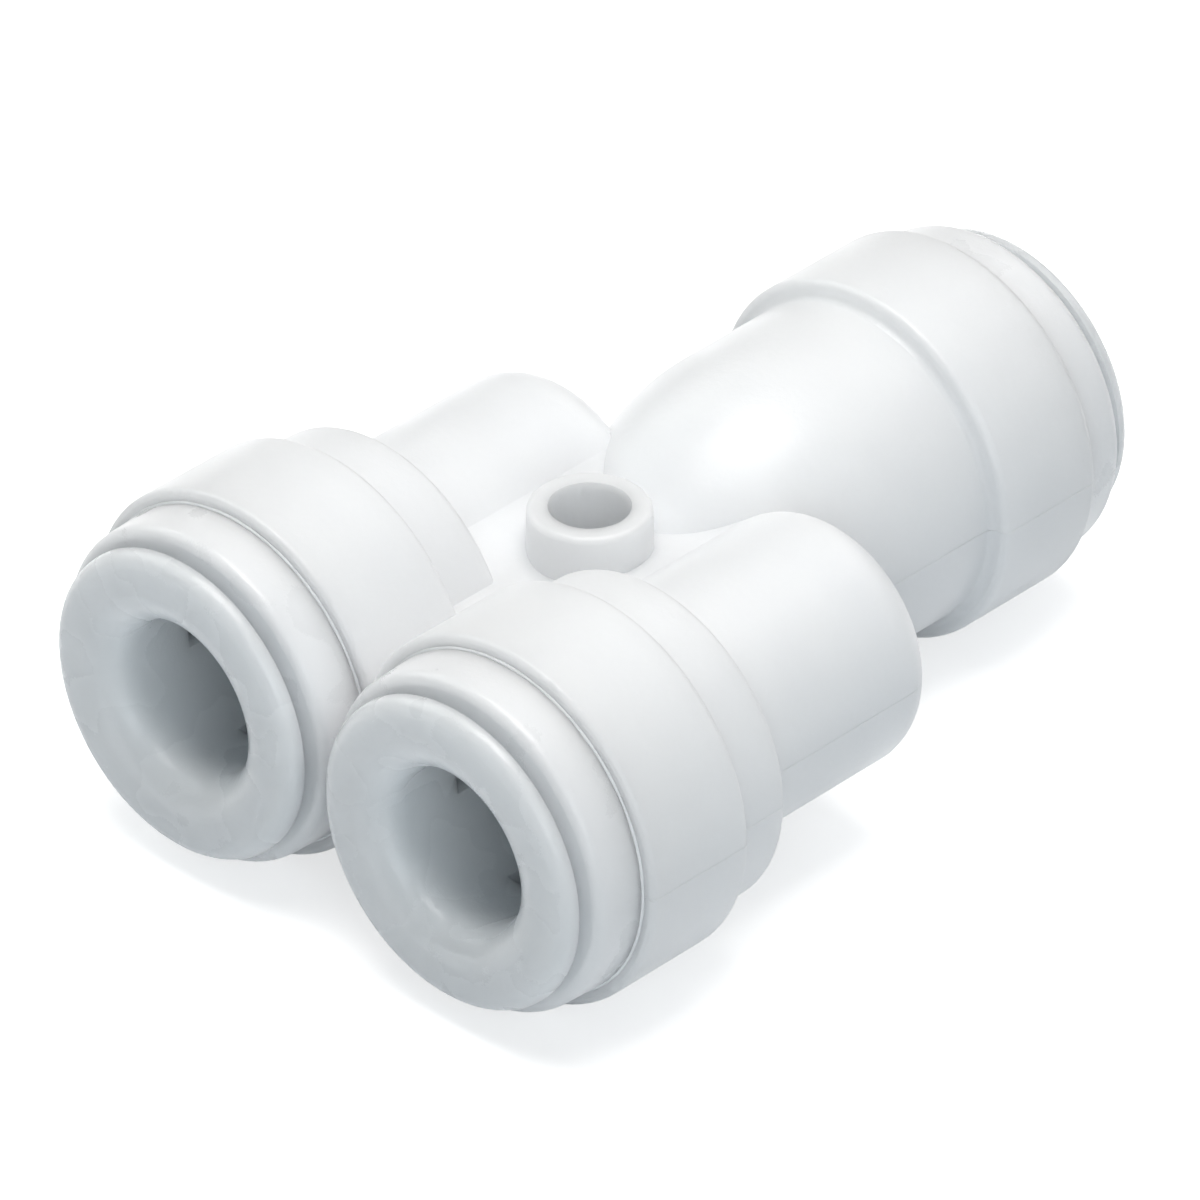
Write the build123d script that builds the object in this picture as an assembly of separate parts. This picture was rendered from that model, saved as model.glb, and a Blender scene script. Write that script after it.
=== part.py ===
from build123d import *
from math import radians, sin
import os

# Tubing Y connector: one inlet divides into two outlets, each a push-in socket for plain tube.
#
# Frame: millimetres. +X runs across the two outlets, +Y from the outlets to the inlet, and +Z up
# along the mounting hole. The origin is on the mounting hole's axis, at the height of the three
# port axes.
#
# The pieces of a socket are drawn in the socket's own frame: local Z runs out of the mouth along
# the port axis, and 0 is the mouth plane, where the end cap's flange seats on the body.

# --- The tube that the sockets take
tube_diameter = 6.35
collet_bore_clearance = 0.125  # radial, tube in collet
socket_clearance = 0.08  # radial, tube in the body beyond the O-ring

# --- Outside of the body
collar_diameter = 15.2
collar_length = 5.2
shoulder_step = 0.75  # radial, collar to shoulder
shoulder_length = 2.8
neck_wall = 1.97  # round the tube
neck_end_wall = 2.75  # beyond the passage in each outlet's neck
neck_end_round = 1.6
dome_length = 8.6  # of the inlet's tapering end, along the axis
dome_lead = 2.9  # how far before the inlet's tube stop the dome starts
dome_tip = 1.1  # radius of the flat at the dome's end
dome_fullness = 0.55  # 0 is a straight taper, 0.55 an ellipse
dome_sink = 0.725  # how far the dome runs on inside the boss
mouth_round = 0.25
step_round = 0.3
outlet_mouth_distance = 12.0  # from the mounting hole's axis

# --- Web between the two necks, with the mounting boss on it
web_thickness = 6.2  # at the middle of the valley
web_sink = 0.15  # how far the web's faces run on inside the necks
web_setback = 0.95  # along Y, from the necks' closed ends to the end of the web
boss_wall = 0.825
boss_drop = 0.075  # from the necks' tops down to the boss's faces
boss_round = 0.25
mounting_hole_diameter = 3.2

# --- Inside of a socket
cap_share = 0.54  # of the wall between collet and collar, taken by the end cap's spigot
cavity_ledge = 0.6  # radial, below the end cap's seat
socket_length = 5.6  # from the O-ring's seat to the tube stop
socket_chamfer = 0.4
passage_diameter = 3.8
outlet_passage_length = 2.5  # straight part beyond the tube stop
inlet_passage_length = 1.2

# --- End cap
cap_height = 2.2
cap_step = 0.55  # radial, collar to the end cap's base
cap_taper = 0.1  # radial, base to front
cap_gap = 0.14  # between the two outlets' end caps
cap_front_round = 0.45
cap_bore_round = 0.12
cap_spigot_length = 3.0
cap_spigot_clearance = 0.05  # radial, and at the spigot's end
cam_length = 1.5  # of the cone that closes the collet's fingers
cam_share = 0.55  # of the spigot's wall, cut away at the cone's wide end

# --- Collet
sleeve_wall = 1.0
sleeve_clearance = 0.05  # radial, sleeve in the end cap's bore
flange_step = 0.55  # radial, end cap's front to the flange
flange_thickness = 0.7
flange_round = 0.6
release_gap = 0.5  # between the flange and the end cap, closed when the tube is released
lead_in_round = 1.4
finger_head_share = 0.4  # of the spigot's wall, by which a finger head stands out of the sleeve
finger_end_depth = 4.8  # below the mouth plane
finger_end_round = 0.3
finger_seat_gap = 0.2  # finger ends to the O-ring's seat with the collet pushed in
cam_gap = 0.15  # along the axis, finger head to cam cone
finger_count = 4
finger_slot_width = 1.4
finger_slot_top = 0.8  # depth where the slots end

# --- Grip teeth, one steel plate in each finger
tooth_width = 1.8
tooth_thickness = 0.3
tooth_bite = 0.13  # how far a tip stands inside the tube's surface
tooth_root_depth = 1.1  # how far a plate runs into its finger from the collet's bore
tooth_tilt = 25  # degrees, tips leaning towards the tube stop
tooth_rise = 0.9  # of the tips above the finger ends
tooth_clearance = 0.02

# --- O-ring
o_ring_section = 1.85
o_ring_squeeze = 0.125  # how far it stands inside the tube's surface
o_ring_clearance = 0.05  # radial, in its seat

# --- Values that follow. Depths are below the mouth plane.
collar = collar_diameter / 2
shoulder = collar - shoulder_step
neck = tube_diameter / 2 + socket_clearance + neck_wall
cap_base = collar - cap_step
cap_front = cap_base - cap_taper
half_spacing = cap_base + cap_gap / 2  # of the outlets' axes
collet_bore = tube_diameter / 2 + collet_bore_clearance
sleeve = collet_bore + sleeve_wall
cap_bore = sleeve + sleeve_clearance
cap_seat = cap_bore + cap_share * (collar - cap_bore)
cap_spigot = cap_seat - cap_spigot_clearance
cam_depth = cam_share * (cap_spigot - cap_bore)  # radial, of the cone
finger_head = sleeve + finger_head_share * (cap_spigot - cap_bore)
flange_back = cap_height + release_gap
collet_face = flange_back + flange_thickness
o_ring_bore = tube_diameter / 2 - o_ring_squeeze
o_ring_seat = o_ring_bore + o_ring_section + o_ring_clearance
o_ring_seat_top = finger_end_depth + release_gap + finger_seat_gap
o_ring_seat_end = o_ring_seat_top + o_ring_section + o_ring_clearance
tube_socket = tube_diameter / 2 + socket_clearance
tube_stop = o_ring_seat_end + socket_length
passage = passage_diameter / 2
outlet_passage_end = tube_stop + outlet_passage_length
inlet_passage_end = tube_stop + inlet_passage_length
shoulder_end = collar_length + shoulder_length
neck_end = outlet_passage_end + neck_end_wall
boss_radius = mounting_hole_diameter / 2 + boss_wall
boss_half_height = neck - boss_drop
dome_start = tube_stop - dome_lead
inlet_mouth_y = boss_radius - dome_sink + dome_length + dome_start
cut_margin = 1.0  # how far a cutter stands out of the face that it opens

ports = {
    "left": Plane(origin=(-half_spacing, -outlet_mouth_distance, 0), x_dir=(1, 0, 0), z_dir=(0, -1, 0)),
    "right": Plane(origin=(half_spacing, -outlet_mouth_distance, 0), x_dir=(1, 0, 0), z_dir=(0, -1, 0)),
    "inlet": Plane(origin=(0, inlet_mouth_y, 0), x_dir=(1, 0, 0), z_dir=(0, 1, 0)),
}


def turned(corners):
    """Solid turned about local Z from corners given as (radius, height, corner round)."""
    outline = make_face(Polyline(*[(r, z) for r, z, _ in corners], close=True))
    for r, z, rounding in corners:
        if rounding > 0:
            corner = [v for v in outline.vertices() if abs(v.X - r) + abs(v.Y - z) < 1e-5]
            outline = fillet(corner, rounding)
    return revolve(Plane.XZ * outline, Axis.Z)


def cylinder_between(start, end, radius):
    """Straight round passage between two points."""
    run = Vector(*end) - Vector(*start)
    return extrude(Plane(origin=start, z_dir=run) * Circle(radius), run.length)


def outlet_barrel():
    """Outside of one outlet: collar, shoulder and the closed neck behind them."""
    return turned([
        (0, 0, 0),
        (collar, 0, mouth_round),
        (collar, -collar_length, step_round),
        (shoulder, -collar_length, step_round),
        (shoulder, -shoulder_end, step_round),
        (neck, -shoulder_end, step_round),
        (neck, -neck_end, neck_end_round),
        (0, -neck_end, 0),
    ])


def inlet_barrel():
    """Outside of the inlet: collar, thick barrel and a dome that tapers down to the boss."""
    barrel = turned([
        (0, 0, 0),
        (collar, 0, mouth_round),
        (collar, -collar_length, step_round),
        (shoulder, -collar_length, step_round),
        (shoulder, -dome_start, 0),
        (0, -dome_start, 0),
    ])
    dome_end = dome_start + dome_length
    side = Bezier(
        (shoulder, -dome_start),
        (shoulder, -dome_start - dome_fullness * dome_length),
        (dome_tip + (1 - dome_fullness) * (shoulder - dome_tip), -dome_end),
        (dome_tip, -dome_end),
    )
    rest = Polyline((dome_tip, -dome_end), (0, -dome_end), (0, -dome_start), (shoulder, -dome_start))
    return barrel + revolve(Plane.XZ * make_face([side, rest]), Axis.Z)


def socket_space(passage_end):
    """Everything that is open inside one socket, down to the end of its straight passage."""
    seat_depth = cap_spigot_length + cap_spigot_clearance
    cavity = cap_seat - cavity_ledge
    return turned([
        (0, cut_margin, 0),
        (cap_seat, cut_margin, 0),
        (cap_seat, -seat_depth, 0),
        (cavity, -seat_depth, 0),
        (cavity, -o_ring_seat_top, 0),
        (o_ring_seat, -o_ring_seat_top, 0),
        (o_ring_seat, -o_ring_seat_end, 0),
        (tube_socket + socket_chamfer, -o_ring_seat_end, 0),
        (tube_socket, -o_ring_seat_end - socket_chamfer, 0),
        (tube_socket, -tube_stop, 0),
        (passage, -tube_stop, 0),
        (passage, -passage_end, 0),
        (0, -passage_end, 0),
    ])


def web():
    """Web between the necks: each face is one arc that runs smoothly into both necks."""
    half_web = web_thickness / 2
    # Radius of the arc that touches both neck circles and stands half_web above the middle.
    valley = (half_spacing**2 + half_web**2 - neck**2) / (2 * (neck - half_web))
    # Where it touches them, sunk a little into the necks.
    reach = (neck - web_sink) / (neck + valley)
    x, z = half_spacing * (1 - reach), (half_web + valley) * reach
    section = make_face([
        ThreePointArc((-x, z), (0, half_web), (x, z)),
        Line((x, z), (x, -z)),
        ThreePointArc((x, -z), (0, -half_web), (-x, -z)),
        Line((-x, -z), (-x, z)),
    ])
    start_y = collar_length / 2 - outlet_mouth_distance
    end_y = neck_end - outlet_mouth_distance - web_setback
    start = Plane(origin=(0, start_y, 0), z_dir=(0, 1, 0), x_dir=(-1, 0, 0))
    return extrude(start * section, end_y - start_y)


def boss():
    """Round boss through the web, standing out the same on both faces."""
    return turned([
        (0, -boss_half_height, 0),
        (boss_radius, -boss_half_height, boss_round),
        (boss_radius, boss_half_height, boss_round),
        (0, boss_half_height, 0),
    ])


def branch_passages():
    """The two slanted passages that lead from the inlet's stop to the outlets' passages."""
    inlet_end = (0, inlet_mouth_y - inlet_passage_end, 0)
    outlet_y = outlet_passage_end - passage - outlet_mouth_distance
    passages = []
    for side in (-1, 1):
        outlet_end = (side * half_spacing, outlet_y, 0)
        passages.append(cylinder_between(inlet_end, outlet_end, passage))
    return passages


def body():
    """The moulded body: three barrels, web and boss, with its sockets, passages and mounting hole."""
    solid = boss() + web()
    for name, place in ports.items():
        solid += place * (inlet_barrel() if name == "inlet" else outlet_barrel())
    for name, place in ports.items():
        solid -= place * socket_space(inlet_passage_end if name == "inlet" else outlet_passage_end)
    for passage in branch_passages():
        solid -= passage
    return solid - Cylinder(mounting_hole_diameter / 2, 2 * (boss_half_height + cut_margin))


def end_cap():
    """Ring that closes a socket and holds its collet, with the cone that closes the fingers."""
    return turned([
        (cap_bore, cap_height, cap_bore_round),
        (cap_front, cap_height, cap_front_round),
        (cap_base, 0, 0),
        (cap_spigot, 0, 0),
        (cap_spigot, -cap_spigot_length, 0),
        (cap_bore + cam_depth, -cap_spigot_length, 0),
        (cap_bore, cam_length - cap_spigot_length, 0),
    ])


def tooth(clearance=0.0):
    """One steel plate at +X, tip towards the axis, grown by a clearance on every side but its tip."""
    tip = tube_diameter / 2 - tooth_bite + tooth_thickness / 2 * sin(radians(tooth_tilt))
    root = collet_bore + tooth_root_depth + clearance
    plate = Box(root - tip, tooth_width + 2 * clearance, tooth_thickness + 2 * clearance,
                align=(Align.MIN, Align.CENTER, Align.CENTER))
    return Pos(tip, 0, tooth_rise - finger_end_depth) * Rot(0, -tooth_tilt, 0) * plate


def collet():
    """Flanged sleeve with slit fingers whose heads hold the teeth."""
    flange = cap_front - flange_step
    cone_start = cap_spigot_length - cam_length + cam_gap
    head_start = cone_start + (finger_head - sleeve) * cam_length / cam_depth
    solid = turned([
        (collet_bore, collet_face, lead_in_round),
        (flange, collet_face, flange_round),
        (flange, flange_back, 0),
        (sleeve, flange_back, 0),
        (sleeve, -cone_start, 0),
        (finger_head, -head_start, 0),
        (finger_head, -finger_end_depth, finger_end_round),
        (collet_bore, -finger_end_depth, finger_end_round),
    ])
    slot_length = finger_end_depth - finger_slot_top + cut_margin
    slot = Box(finger_head + cut_margin, finger_slot_width, slot_length,
               align=(Align.MIN, Align.CENTER, Align.MAX))
    step = 360 / finger_count
    for finger in range(finger_count):
        solid -= Rot(0, 0, finger * step) * Pos(0, 0, -finger_slot_top) * slot
        solid -= Rot(0, 0, (finger + 0.5) * step) * tooth(tooth_clearance)
    return solid


def grip_teeth():
    """The ring of teeth of one collet."""
    step = 360 / finger_count
    return Compound([Rot(0, 0, (finger + 0.5) * step) * tooth() for finger in range(finger_count)])


def o_ring():
    """Rubber ring that lies on the floor of its seat."""
    section = o_ring_section / 2
    ring = o_ring_bore + section
    return Pos(0, 0, -o_ring_seat_end + section) * Torus(ring, section)


os.makedirs("parts", exist_ok=True)
export_step(body(), "parts/body.step")
socket_pieces = {"end_cap": end_cap(), "collet": collet(), "grip_teeth": grip_teeth(), "o_ring": o_ring()}
for port_name, port in ports.items():
    for piece_name, piece in socket_pieces.items():
        export_step(port * piece, f"parts/{piece_name}_{port_name}.step")
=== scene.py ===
# %% [markdown]
# # A push-in Y connector for tubing
#
# The real fitting is a few white mouldings pressed and welded together. A body with three
# sockets carries an end cap on each mouth, and in each cap slides a release collet whose fingers
# hold small steel teeth. This lesson dresses the finished solids: it gives every piece its own
# moulded, pressed or rubber surface, adds the thin weld seams that the solids leave out, and
# lights it all on a plain white table.

# %% Load the solids
import math
import bpy
from mathutils import Matrix, Vector


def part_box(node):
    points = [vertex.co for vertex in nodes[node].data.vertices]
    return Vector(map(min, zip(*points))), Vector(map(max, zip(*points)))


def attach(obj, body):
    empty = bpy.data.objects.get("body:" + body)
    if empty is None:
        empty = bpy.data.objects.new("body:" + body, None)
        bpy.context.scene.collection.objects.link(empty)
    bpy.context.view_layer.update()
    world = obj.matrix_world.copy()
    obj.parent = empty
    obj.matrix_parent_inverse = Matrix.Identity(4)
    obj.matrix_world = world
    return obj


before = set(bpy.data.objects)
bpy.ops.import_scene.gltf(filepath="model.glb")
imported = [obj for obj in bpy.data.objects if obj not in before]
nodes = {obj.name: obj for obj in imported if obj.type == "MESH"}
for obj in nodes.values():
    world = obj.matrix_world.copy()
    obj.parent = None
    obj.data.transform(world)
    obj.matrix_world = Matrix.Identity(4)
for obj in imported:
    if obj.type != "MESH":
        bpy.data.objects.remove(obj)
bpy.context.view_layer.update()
print("solids:", sorted(nodes))

# %% [markdown]
# ## Where things are
#
# Everything is in metres, and the origin is on the mounting hole's axis. The boxes of the solids
# give the few places that the floor and the seams need, so no place is typed twice. A socket is
# known by its name, the middle of its end cap's front and the way it faces along Y.

# %% Read the sockets' places
MM = 0.001
sockets = {}
for name in ("left", "right", "inlet"):
    low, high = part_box("end_cap_" + name)
    facing = 1.0 if low.y > 0 else -1.0
    front = high.y if facing > 0 else low.y
    radius = (high.z - low.z) / 2
    sockets[name] = {"x": (low.x + high.x) / 2, "front": front, "facing": facing, "radius": radius}
    print(name, "cap front at y = %.2f mm, radius %.2f mm" % (front / MM, radius / MM))
floor_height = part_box("body")[0].z
print("rests on the floor at z = %.2f mm" % (floor_height / MM))

# %% [markdown]
# ## Shader maths that reads like maths
#
# A material, a world and a Geometry Nodes group are all trees of nodes, so one function can add
# a node to any of them. It takes the node's type, its settings, which have to come first
# because some settings change the sockets, and then what goes into the sockets.

# %% Add any node to any tree
def add_node(tree, kind, settings=None, values=None):
    """Adds a node and gives its outputs. A value is a number, a colour or a socket to link."""
    node = tree.nodes.new(kind)
    for key, value in (settings or {}).items():
        setattr(node, key, value)
    for key, value in (values or {}).items():
        if isinstance(value, bpy.types.NodeSocket):
            tree.links.new(value, node.inputs[key])
        else:
            node.inputs[key].default_value = value
    return node.outputs


# %% [markdown]
# Wiring each Math node by hand hides what it works out, so a small class wraps a socket and
# gives it plus, minus and times. An expression such as 1 - mask then adds its Math nodes by
# itself. A second class holds one material and adds its nodes, with the shader's own sockets
# filled by name.

# %% A socket that can be used in sums
class Field:
    """An output socket of a material's tree. Sums with it add Math nodes."""

    def __init__(self, finish, socket):
        self.finish = finish
        self.socket = socket

    def _math(self, operation, *values):
        return self.finish.node("ShaderNodeMath", {"operation": operation}, dict(enumerate(values)))

    def __add__(self, other):
        return self._math("ADD", self, other)

    def __sub__(self, other):
        return self._math("SUBTRACT", self, other)

    def __rsub__(self, other):
        return self._math("SUBTRACT", other, self)

    def __mul__(self, other):
        return self._math("MULTIPLY", self, other)

    __radd__ = __add__
    __rmul__ = __mul__

    def size(self):
        return self._math("ABSOLUTE", self)

    def ramp(self, start, end, low=0.0, high=1.0):
        """Goes smoothly from low to high as this goes from start to end."""
        settings = {"interpolation_type": "SMOOTHSTEP"}
        sockets_in = {"Value": self, 1: start, 2: end, 3: low, 4: high}
        return self.finish.node("ShaderNodeMapRange", settings, sockets_in)


class Finish:
    """A material whose nodes are added by name, type and wiring."""

    def __init__(self, name):
        self.material = bpy.data.materials.new(name)
        self.material.use_nodes = True
        self.tree = self.material.node_tree
        self.surface = self.tree.nodes["Principled BSDF"]

    def node(self, kind, settings=None, values=None, out=0):
        """Adds a node: settings first, then the values or links of its sockets."""
        plain = {key: getattr(value, "socket", value) for key, value in (values or {}).items()}
        return Field(self, add_node(self.tree, kind, settings, plain)[out])

    def set(self, **values):
        """Sets or links the shader's own sockets, with _ for the spaces in their names."""
        for key, value in values.items():
            socket = self.surface.inputs[key.replace("_", " ")]
            if isinstance(value, Field):
                self.tree.links.new(value.socket, socket)
            else:
                socket.default_value = value

    def place(self):
        """The point on the piece in millimetres, from its Object coordinates."""
        point = self.node("ShaderNodeTexCoord", out=3)
        return self.node("ShaderNodeVectorMath", {"operation": "SCALE"}, {0: point, 3: 1000.0})

    def noise(self, place, scale, detail=3.0, roughness=0.5):
        """Cloudy noise: the larger the scale, the finer the clouds."""
        values = {"Vector": place, "Scale": scale, "Detail": detail, "Roughness": roughness}
        return self.node("ShaderNodeTexNoise", None, values)

    def blend(self, factor, first, second):
        """One colour turning into another."""
        values = {0: factor, 6: first, 7: second}
        return self.node("ShaderNodeMix", {"data_type": "RGBA"}, values, out=2)

    def bump(self, height, depth):
        """A relief of so many metres under the light."""
        values = {"Strength": 1.0, "Distance": depth, "Height": height}
        return self.node("ShaderNodeBump", None, values)


# %% [markdown]
# ## White moulded plastic
#
# The body is injection moulded in two halves that meet at the height of the port axes. The real
# surface is near white with a satin gloss, a faint cloudiness where the plastic flowed, a skin
# as uneven as fine orange peel, and a hairline ridge where the mould closed. Noise at four
# sizes gives the clouds, the patches of gloss, the skin and its grain. The ridge is a narrow
# bell of the height above the parting plane, so it runs all round at once.
#
# White plastic is milky: light goes in, wanders for a millimetre or two and comes out
# elsewhere, which keeps grooves and holes from going black. Subsurface weight says how much of
# the colour works that way, and subsurface scale how far the light wanders.

# %% Make the body's plastic
RIDGE_WIDTH = 0.06  # mm, each side of the parting plane
SKIN_DEPTH = 0.02 * MM


def moulded_plastic(name, bright, shade, roughness, ridge_height, milkiness, depth):
    """White plastic in two tints, with light wandering so many millimetres in it."""
    finish = Finish(name)
    place = finish.place()
    clouds = finish.noise(place, 0.11, 1.0)
    patches = finish.noise(place, 0.45, 1.5, 0.4)
    skin = finish.noise(place, 2.6, 3.0, 0.55)
    grain = finish.noise(place, 14.0, 2.0, 0.5)
    height = finish.node("ShaderNodeSeparateXYZ", None, {0: place}, out=2)
    ridge = 1 - height.size().ramp(0.0, RIDGE_WIDTH)
    cloudiness = (clouds * 0.65 + patches * 0.35).ramp(0.25, 0.75)
    finish.set(
        Base_Color=finish.blend(cloudiness, shade, bright),
        Roughness=patches.ramp(0.3, 0.7, roughness - 0.05, roughness + 0.06) + grain * 0.03,
        Normal=finish.bump(skin * 0.8 + grain * 0.2 + ridge * ridge_height, SKIN_DEPTH),
        IOR=1.49,
        Subsurface_Weight=milkiness,
        Subsurface_Radius=(1.0, 1.0, 1.0),
        Subsurface_Scale=depth * MM,
    )
    return finish.material


body_plastic = moulded_plastic(
    "white body plastic", (0.875, 0.885, 0.895, 1), (0.85, 0.86, 0.875, 1),
    roughness=0.33, ridge_height=1.2, milkiness=0.8, depth=2.0)
print("body plastic:", len(body_plastic.node_tree.nodes), "nodes")

# %% [markdown]
# ## End cap and collet plastic
#
# The caps come from another mould in the same white. The collets are a slicker, waxier plastic,
# and a little more of the light wanders in them. Their cooler tint is painted shade: it stands in
# for the bluish shade in their bores and on their faces. Both are round pieces that leave their
# mould along the port axis, so neither has a parting ridge. The bead of the weld is too thin for
# light to wander in, so its plastic has no milkiness and is a little rougher.

# %% Make the cap's and the collet's plastic
cap_plastic = moulded_plastic(
    "white cap plastic", (0.885, 0.89, 0.9, 1), (0.86, 0.87, 0.885, 1),
    roughness=0.30, ridge_height=0.0, milkiness=0.8, depth=2.0)
# The collet's cooler tints are painted shade: they stand in for the bluish shade in its bores and
# on its faces.
collet_plastic = moulded_plastic(
    "white collet plastic", (0.85, 0.885, 0.91, 1), (0.82, 0.86, 0.89, 1),
    roughness=0.25, ridge_height=0.0, milkiness=0.9, depth=2.0)
weld_plastic = moulded_plastic(
    "white weld plastic", (0.85, 0.86, 0.87, 1), (0.83, 0.84, 0.855, 1),
    roughness=0.42, ridge_height=0.0, milkiness=0.0, depth=1.0)
print("caps, collets and welds have their own plastics")

# %% [markdown]
# ## Steel teeth
#
# Each tooth is a small plate sheared from rolled stainless strip. Rolling leaves fine straight
# scratches, and a noise that is stretched a lot along one direction looks just like them. The
# plates lean every way round the bore, so the stretch runs along the port axis, which all of
# them share.

# %% Make the teeth's steel
def sheared_steel():
    finish = Finish("sheared steel strip")
    place = finish.place()
    stretched = finish.node("ShaderNodeMapping", None, {"Vector": place, "Scale": (9.0, 0.7, 9.0)})
    scratches = finish.noise(stretched, 2.2, 4.0, 0.65)
    stains = finish.noise(place, 1.3, 2.0)
    bright, dull = (0.62, 0.62, 0.63, 1), (0.48, 0.48, 0.49, 1)
    finish.set(
        Base_Color=finish.blend(stains.ramp(0.35, 0.7), bright, dull),
        Roughness=scratches.ramp(0.3, 0.7, 0.22, 0.42),
        Normal=finish.bump(scratches, 0.006 * MM),
        Metallic=1.0,
    )
    return finish.material


tooth_steel = sheared_steel()
print("steel:", len(tooth_steel.node_tree.nodes), "nodes")

# %% [markdown]
# ## Rubber O-rings
#
# An O-ring is black rubber with a thin film of grease. The rubber is rough and almost without
# colour, and the grease lies over it in uneven smears that catch the light. Coat weight is made
# for such a film: the noise decides where the grease lies.

# %% Make the O-rings' rubber
def greased_rubber():
    finish = Finish("greased black rubber")
    place = finish.place()
    smears = finish.noise(place, 0.9, 3.0, 0.6)
    skin = finish.noise(place, 9.0, 3.0, 0.5)
    deep, dusty = (0.018, 0.018, 0.02, 1), (0.035, 0.035, 0.037, 1)
    finish.set(
        Base_Color=finish.blend(skin.ramp(0.3, 0.7), deep, dusty),
        Roughness=skin.ramp(0.25, 0.75, 0.45, 0.62),
        Coat_Weight=smears.ramp(0.4, 0.65, 0.1, 0.8),
        Coat_Roughness=0.12,
        Normal=finish.bump(skin, 0.008 * MM),
    )
    return finish.material


seal_rubber = greased_rubber()
print("rubber:", len(seal_rubber.node_tree.nodes), "nodes")

# %% [markdown]
# ## Put each finish on its piece
#
# The solids' names start with the kind of piece they are, so a short list of kinds and
# materials covers all of them.

# %% Assign the finishes
finishes = {
    "body": body_plastic,
    "end_cap": cap_plastic,
    "collet": collet_plastic,
    "grip_teeth": tooth_steel,
    "o_ring": seal_rubber,
}
for name, piece in nodes.items():
    kind = next(k for k in finishes if name.startswith(k))
    piece.data.materials.clear()
    piece.data.materials.append(finishes[kind])
    print(name, "->", finishes[kind].name)

# %% [markdown]
# ## Weld seams
#
# Each end cap is welded into its collar, and the joint shows as a fine bead in the corner where
# the cap's side meets the collar's face. A bead that follows a circle is a rule, so Geometry
# Nodes make it: a curve circle swept by a small round section, with the radius and the bead's
# thickness as named inputs. A noise on the circle's points swells it unevenly, as a weld does.

# %% Build the seam's node tree
RING_POINTS = 180
SECTION_POINTS = 10


def seam_tree(material):
    tree = bpy.data.node_groups.new("weld seam", "GeometryNodeTree")
    face = tree.interface
    face.new_socket("Geometry", in_out="OUTPUT", socket_type="NodeSocketGeometry")
    for label, start in (("Radius", 7.0 * MM), ("Bead", 0.1 * MM), ("Unevenness", 0.25)):
        made = face.new_socket(label, in_out="INPUT", socket_type="NodeSocketFloat")
        made.default_value = start
    given = add_node(tree, "NodeGroupInput")
    ring = add_node(tree, "GeometryNodeCurvePrimitiveCircle", None, {
        "Resolution": RING_POINTS, "Radius": given["Radius"]})
    noise = add_node(tree, "ShaderNodeTexNoise", None, {"Scale": 900.0, "Detail": 2.0})
    thinnest = add_node(tree, "ShaderNodeMath", {"operation": "SUBTRACT"}, {
        0: 1.0, 1: given["Unevenness"]})
    swell = add_node(tree, "ShaderNodeMapRange", None, {
        "Value": noise[0], "From Min": 0.3, "From Max": 0.7, "To Min": thinnest[0], "To Max": 1.0})
    sized = add_node(tree, "GeometryNodeSetCurveRadius", None, {
        "Curve": ring["Curve"], "Radius": swell["Result"]})
    section = add_node(tree, "GeometryNodeCurvePrimitiveCircle", None, {
        "Resolution": SECTION_POINTS, "Radius": given["Bead"]})
    sweep = add_node(tree, "GeometryNodeCurveToMesh", None, {
        "Curve": sized["Curve"], "Profile Curve": section["Curve"], "Scale": swell["Result"]})
    smooth = add_node(tree, "GeometryNodeSetShadeSmooth", None, {"Geometry": sweep["Mesh"]})
    real = add_node(tree, "GeometryNodeRealizeInstances", None, {"Geometry": smooth["Geometry"]})
    painted = add_node(tree, "GeometryNodeSetMaterial", None, {
        "Geometry": real["Geometry"], "Material": material})
    add_node(tree, "NodeGroupOutput", None, {"Geometry": painted["Geometry"]})
    return tree


seam_nodes = seam_tree(weld_plastic)
print("weld seam tree:", len(seam_nodes.nodes), "nodes")

# %% [markdown]
# The tree is run once for each socket. A modifier's inputs are set by the socket's identifier,
# and the evaluated object then gives a plain mesh. That mesh is turned so that the circle faces
# along Y and moved to the mouth, with its place kept in its vertices. The mouth lies one cap's
# height behind the cap's front.

# %% Make the three seams
CAP_HEIGHT = 2.2 * MM
BEAD_RADIUS = 0.09 * MM
UPRIGHT = Matrix.Rotation(math.pi / 2, 4, "X")


def made_by(tree, inputs, name):
    """The plain mesh that a node tree gives for these named inputs."""
    holder = bpy.data.objects.new(name + "_holder", bpy.data.meshes.new(name))
    bpy.context.scene.collection.objects.link(holder)
    modifier = holder.modifiers.new("rule", "NODES")
    modifier.node_group = tree
    for item in tree.interface.items_tree:
        if item.in_out == "INPUT" and item.name in inputs:
            modifier[item.identifier] = inputs[item.name]
    evaluated = holder.evaluated_get(bpy.context.evaluated_depsgraph_get())
    mesh = bpy.data.meshes.new_from_object(evaluated)
    holder.modifiers.clear()
    bpy.data.objects.remove(holder)
    return mesh


for name, socket in sockets.items():
    inputs = {"Radius": socket["radius"], "Bead": BEAD_RADIUS, "Unevenness": 0.35}
    mesh = made_by(seam_nodes, inputs, "weld_seam_" + name)
    mouth = socket["front"] - socket["facing"] * CAP_HEIGHT
    mesh.transform(Matrix.Translation((socket["x"], mouth, 0)) @ UPRIGHT)
    seam = bpy.data.objects.new("weld_seam_" + name, mesh)
    bpy.context.scene.collection.objects.link(seam)
    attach(seam, "housing")
    print(seam.name, "at y = %.2f mm," % (mouth / MM), len(mesh.polygons), "faces")

# %% [markdown]
# ## Floor and backdrop
#
# The fitting lies on a plain white table. Seen by the camera the table is white, and it dims
# only where the fitting's shadow falls. For all other rays it is a pale matt surface, so the
# light that it throws up onto the plastic stays natural. Light Path tells the two apart.

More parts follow.
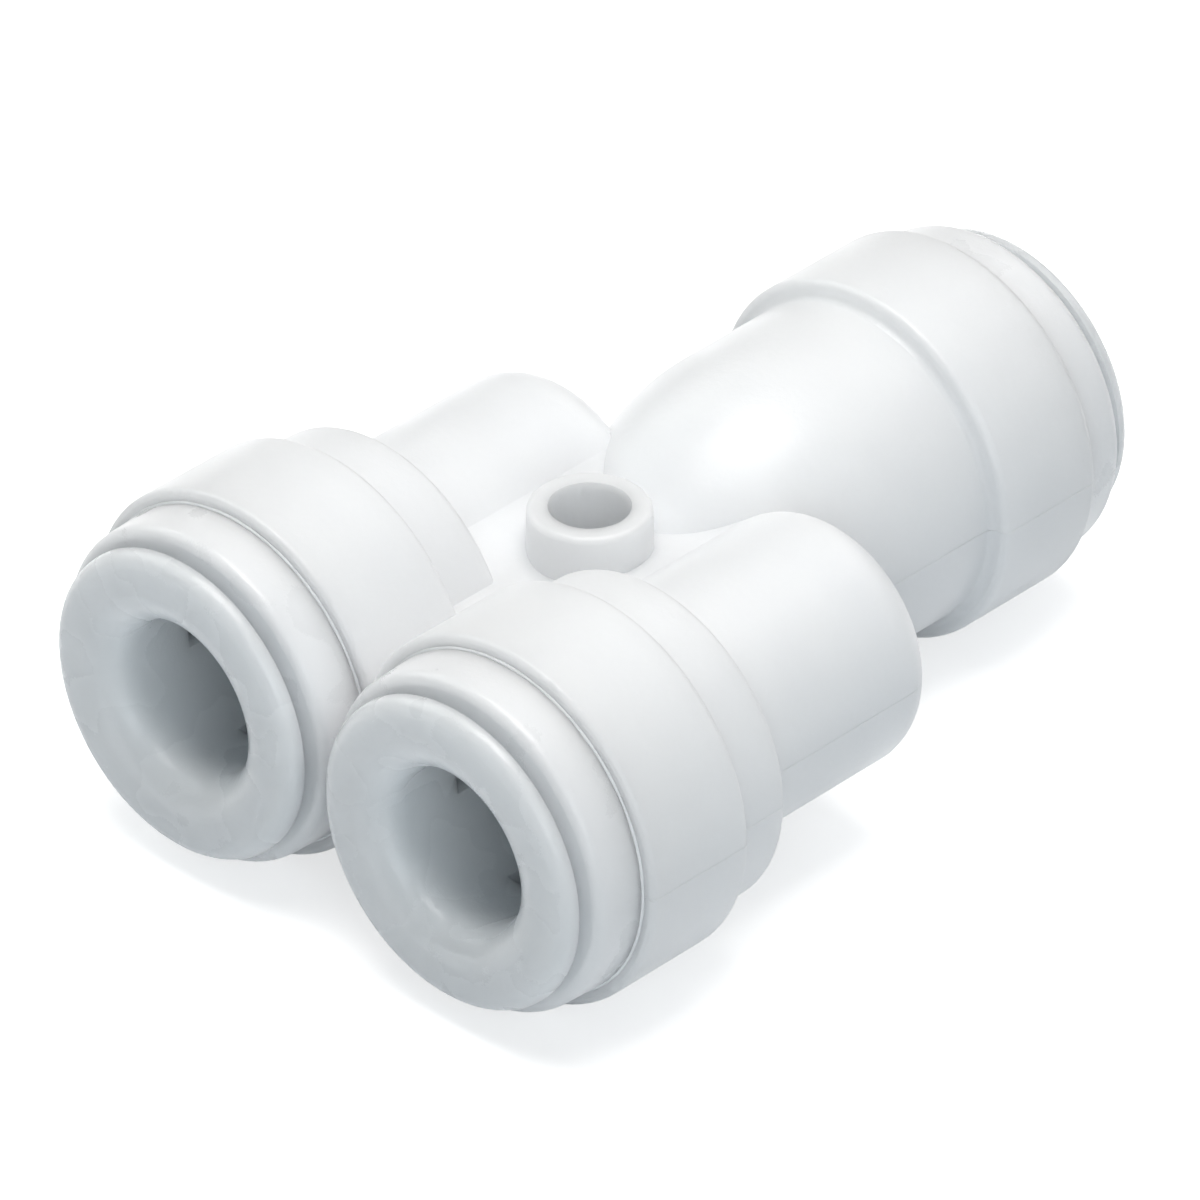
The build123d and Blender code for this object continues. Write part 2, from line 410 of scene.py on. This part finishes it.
# %% Lay the floor
def white_table():
    finish = Finish("white table")
    rays = ("Is Camera Ray", "Is Glossy Ray", "Is Transmission Ray")
    seen = sum(finish.node("ShaderNodeLightPath", out=ray) for ray in rays)
    glow = finish.node("ShaderNodeEmission", None, {"Color": (1, 1, 1, 1), "Strength": 0.62})
    matt = finish.node("ShaderNodeBsdfDiffuse", None, {"Color": (0.8, 0.8, 0.8, 1)})
    both = finish.node("ShaderNodeAddShader", None, {0: glow, 1: matt})
    pale = finish.node("ShaderNodeBsdfDiffuse", None, {"Color": (0.54, 0.57, 0.60, 1)})
    shown = finish.node("ShaderNodeMixShader", None, {0: seen, 1: pale, 2: both})
    finish.tree.nodes.remove(finish.surface)
    finish.tree.links.new(shown.socket, finish.tree.nodes["Material Output"].inputs["Surface"])
    return finish.material


REACH = 3.0
corners = [(x * REACH, y * REACH, floor_height) for x, y in ((-1, -1), (1, -1), (1, 1), (-1, 1))]
floor_mesh = bpy.data.meshes.new("table")
floor_mesh.from_pydata(corners, [], [(0, 1, 2, 3)])
floor_mesh.materials.append(white_table())
floor = bpy.data.objects.new("table", floor_mesh)
bpy.context.scene.collection.objects.link(floor)
print("table at z = %.2f mm" % (floor_height / MM))

# %% [markdown]
# ## Light
#
# White plastic shows its shape only by small steps of grey, so most of the light has one
# direction: a large soft lamp overhead leaves the tops bright and the mouths in half shade. Three
# weaker lamps, behind, on the left and in front, round the sides off, and a weak cool light
# from the whole room keeps the shade open. A lamp's power follows from how bright a white card
# would be under it, so each level can be read as a share of white.

# %% Hang the lamps
LAMP_DISTANCE = 0.7
LAMP_WIDTH = 0.5


def soft_lamp(name, toward, level, tint):
    """A square lamp that lights a white card at the origin to the given level."""
    data = bpy.data.lights.new(name, "AREA")
    data.shape = "SQUARE"
    data.size = LAMP_WIDTH
    data.energy = level * (math.pi * LAMP_DISTANCE) ** 2
    data.color = tint
    lamp = bpy.data.objects.new(name, data)
    direction = Vector(toward).normalized()
    lamp.location = direction * LAMP_DISTANCE
    lamp.rotation_euler = direction.to_track_quat("Z", "Y").to_euler()
    bpy.context.scene.collection.objects.link(lamp)
    print(name, "level %.2f" % level)


soft_lamp("top lamp", (0.0, 0.0, 1.0), 0.89, (1.0, 0.985, 0.97))
soft_lamp("back lamp", (0.0, 1.0, 0.9), 0.17, (1.0, 1.0, 1.0))
soft_lamp("left lamp", (-1.0, -0.1, 0.6), 0.24, (0.94, 1.0, 1.0))
soft_lamp("front lamp", (0.8, -0.58, 0.38), 0.35, (0.90, 0.97, 1.0))

# %% [markdown]
# The room itself adds a weak cool light from all round. The camera doesn't see it: for camera
# rays, and for rays that pass through something clear, the room is plain white.

# %% Light the room
ROOM_LEVEL = 0.04
world = bpy.data.worlds.new("soft room")
bpy.context.scene.world = world
world.use_nodes = True
sky = world.node_tree
sky.nodes.clear()
rays = add_node(sky, "ShaderNodeLightPath")
white = add_node(sky, "ShaderNodeBackground")
room = add_node(sky, "ShaderNodeBackground", None, {
    "Color": (0.90, 0.95, 1.0, 1), "Strength": ROOM_LEVEL})
either = add_node(sky, "ShaderNodeMath", {"operation": "MAXIMUM"}, {
    0: rays["Is Camera Ray"], 1: rays["Is Transmission Ray"]})
chosen = add_node(sky, "ShaderNodeMixShader", None, {0: either[0], 1: room[0], 2: white[0]})
add_node(sky, "ShaderNodeOutputWorld", None, {"Surface": chosen[0]})
print("room light at strength", ROOM_LEVEL)

# %% [markdown]
# ## Camera
#
# The view is from above the mouths, about a third of the way up, and through a long lens, which
# keeps the two outlets nearly parallel. Azimuth and elevation say where the camera stands, and
# it looks at a point close to the mounting hole.

# %% Set the camera
CAMERA_DISTANCE = 0.5
AIM = Vector((-0.597, 1.187, 0.0)) * MM
azimuth, elevation = math.radians(43.65), math.radians(33.67)
level = math.cos(elevation)
back = Vector((math.sin(azimuth) * level, -math.cos(azimuth) * level, math.sin(elevation)))
camera = bpy.data.objects.new("camera", bpy.data.cameras.new("camera"))
camera.data.lens = 392.93  # mm, as is the sensor
camera.data.sensor_width = 36.0
camera.data.clip_start = 0.01
camera.data.clip_end = 20.0
camera.location = AIM + back * CAMERA_DISTANCE
camera.rotation_euler = back.to_track_quat("Z", "Y").to_euler()
bpy.context.scene.collection.objects.link(camera)
bpy.context.scene.camera = camera
bpy.context.scene.view_settings.view_transform = "Standard"
print("camera stands %.0f mm away" % (CAMERA_DISTANCE / MM))
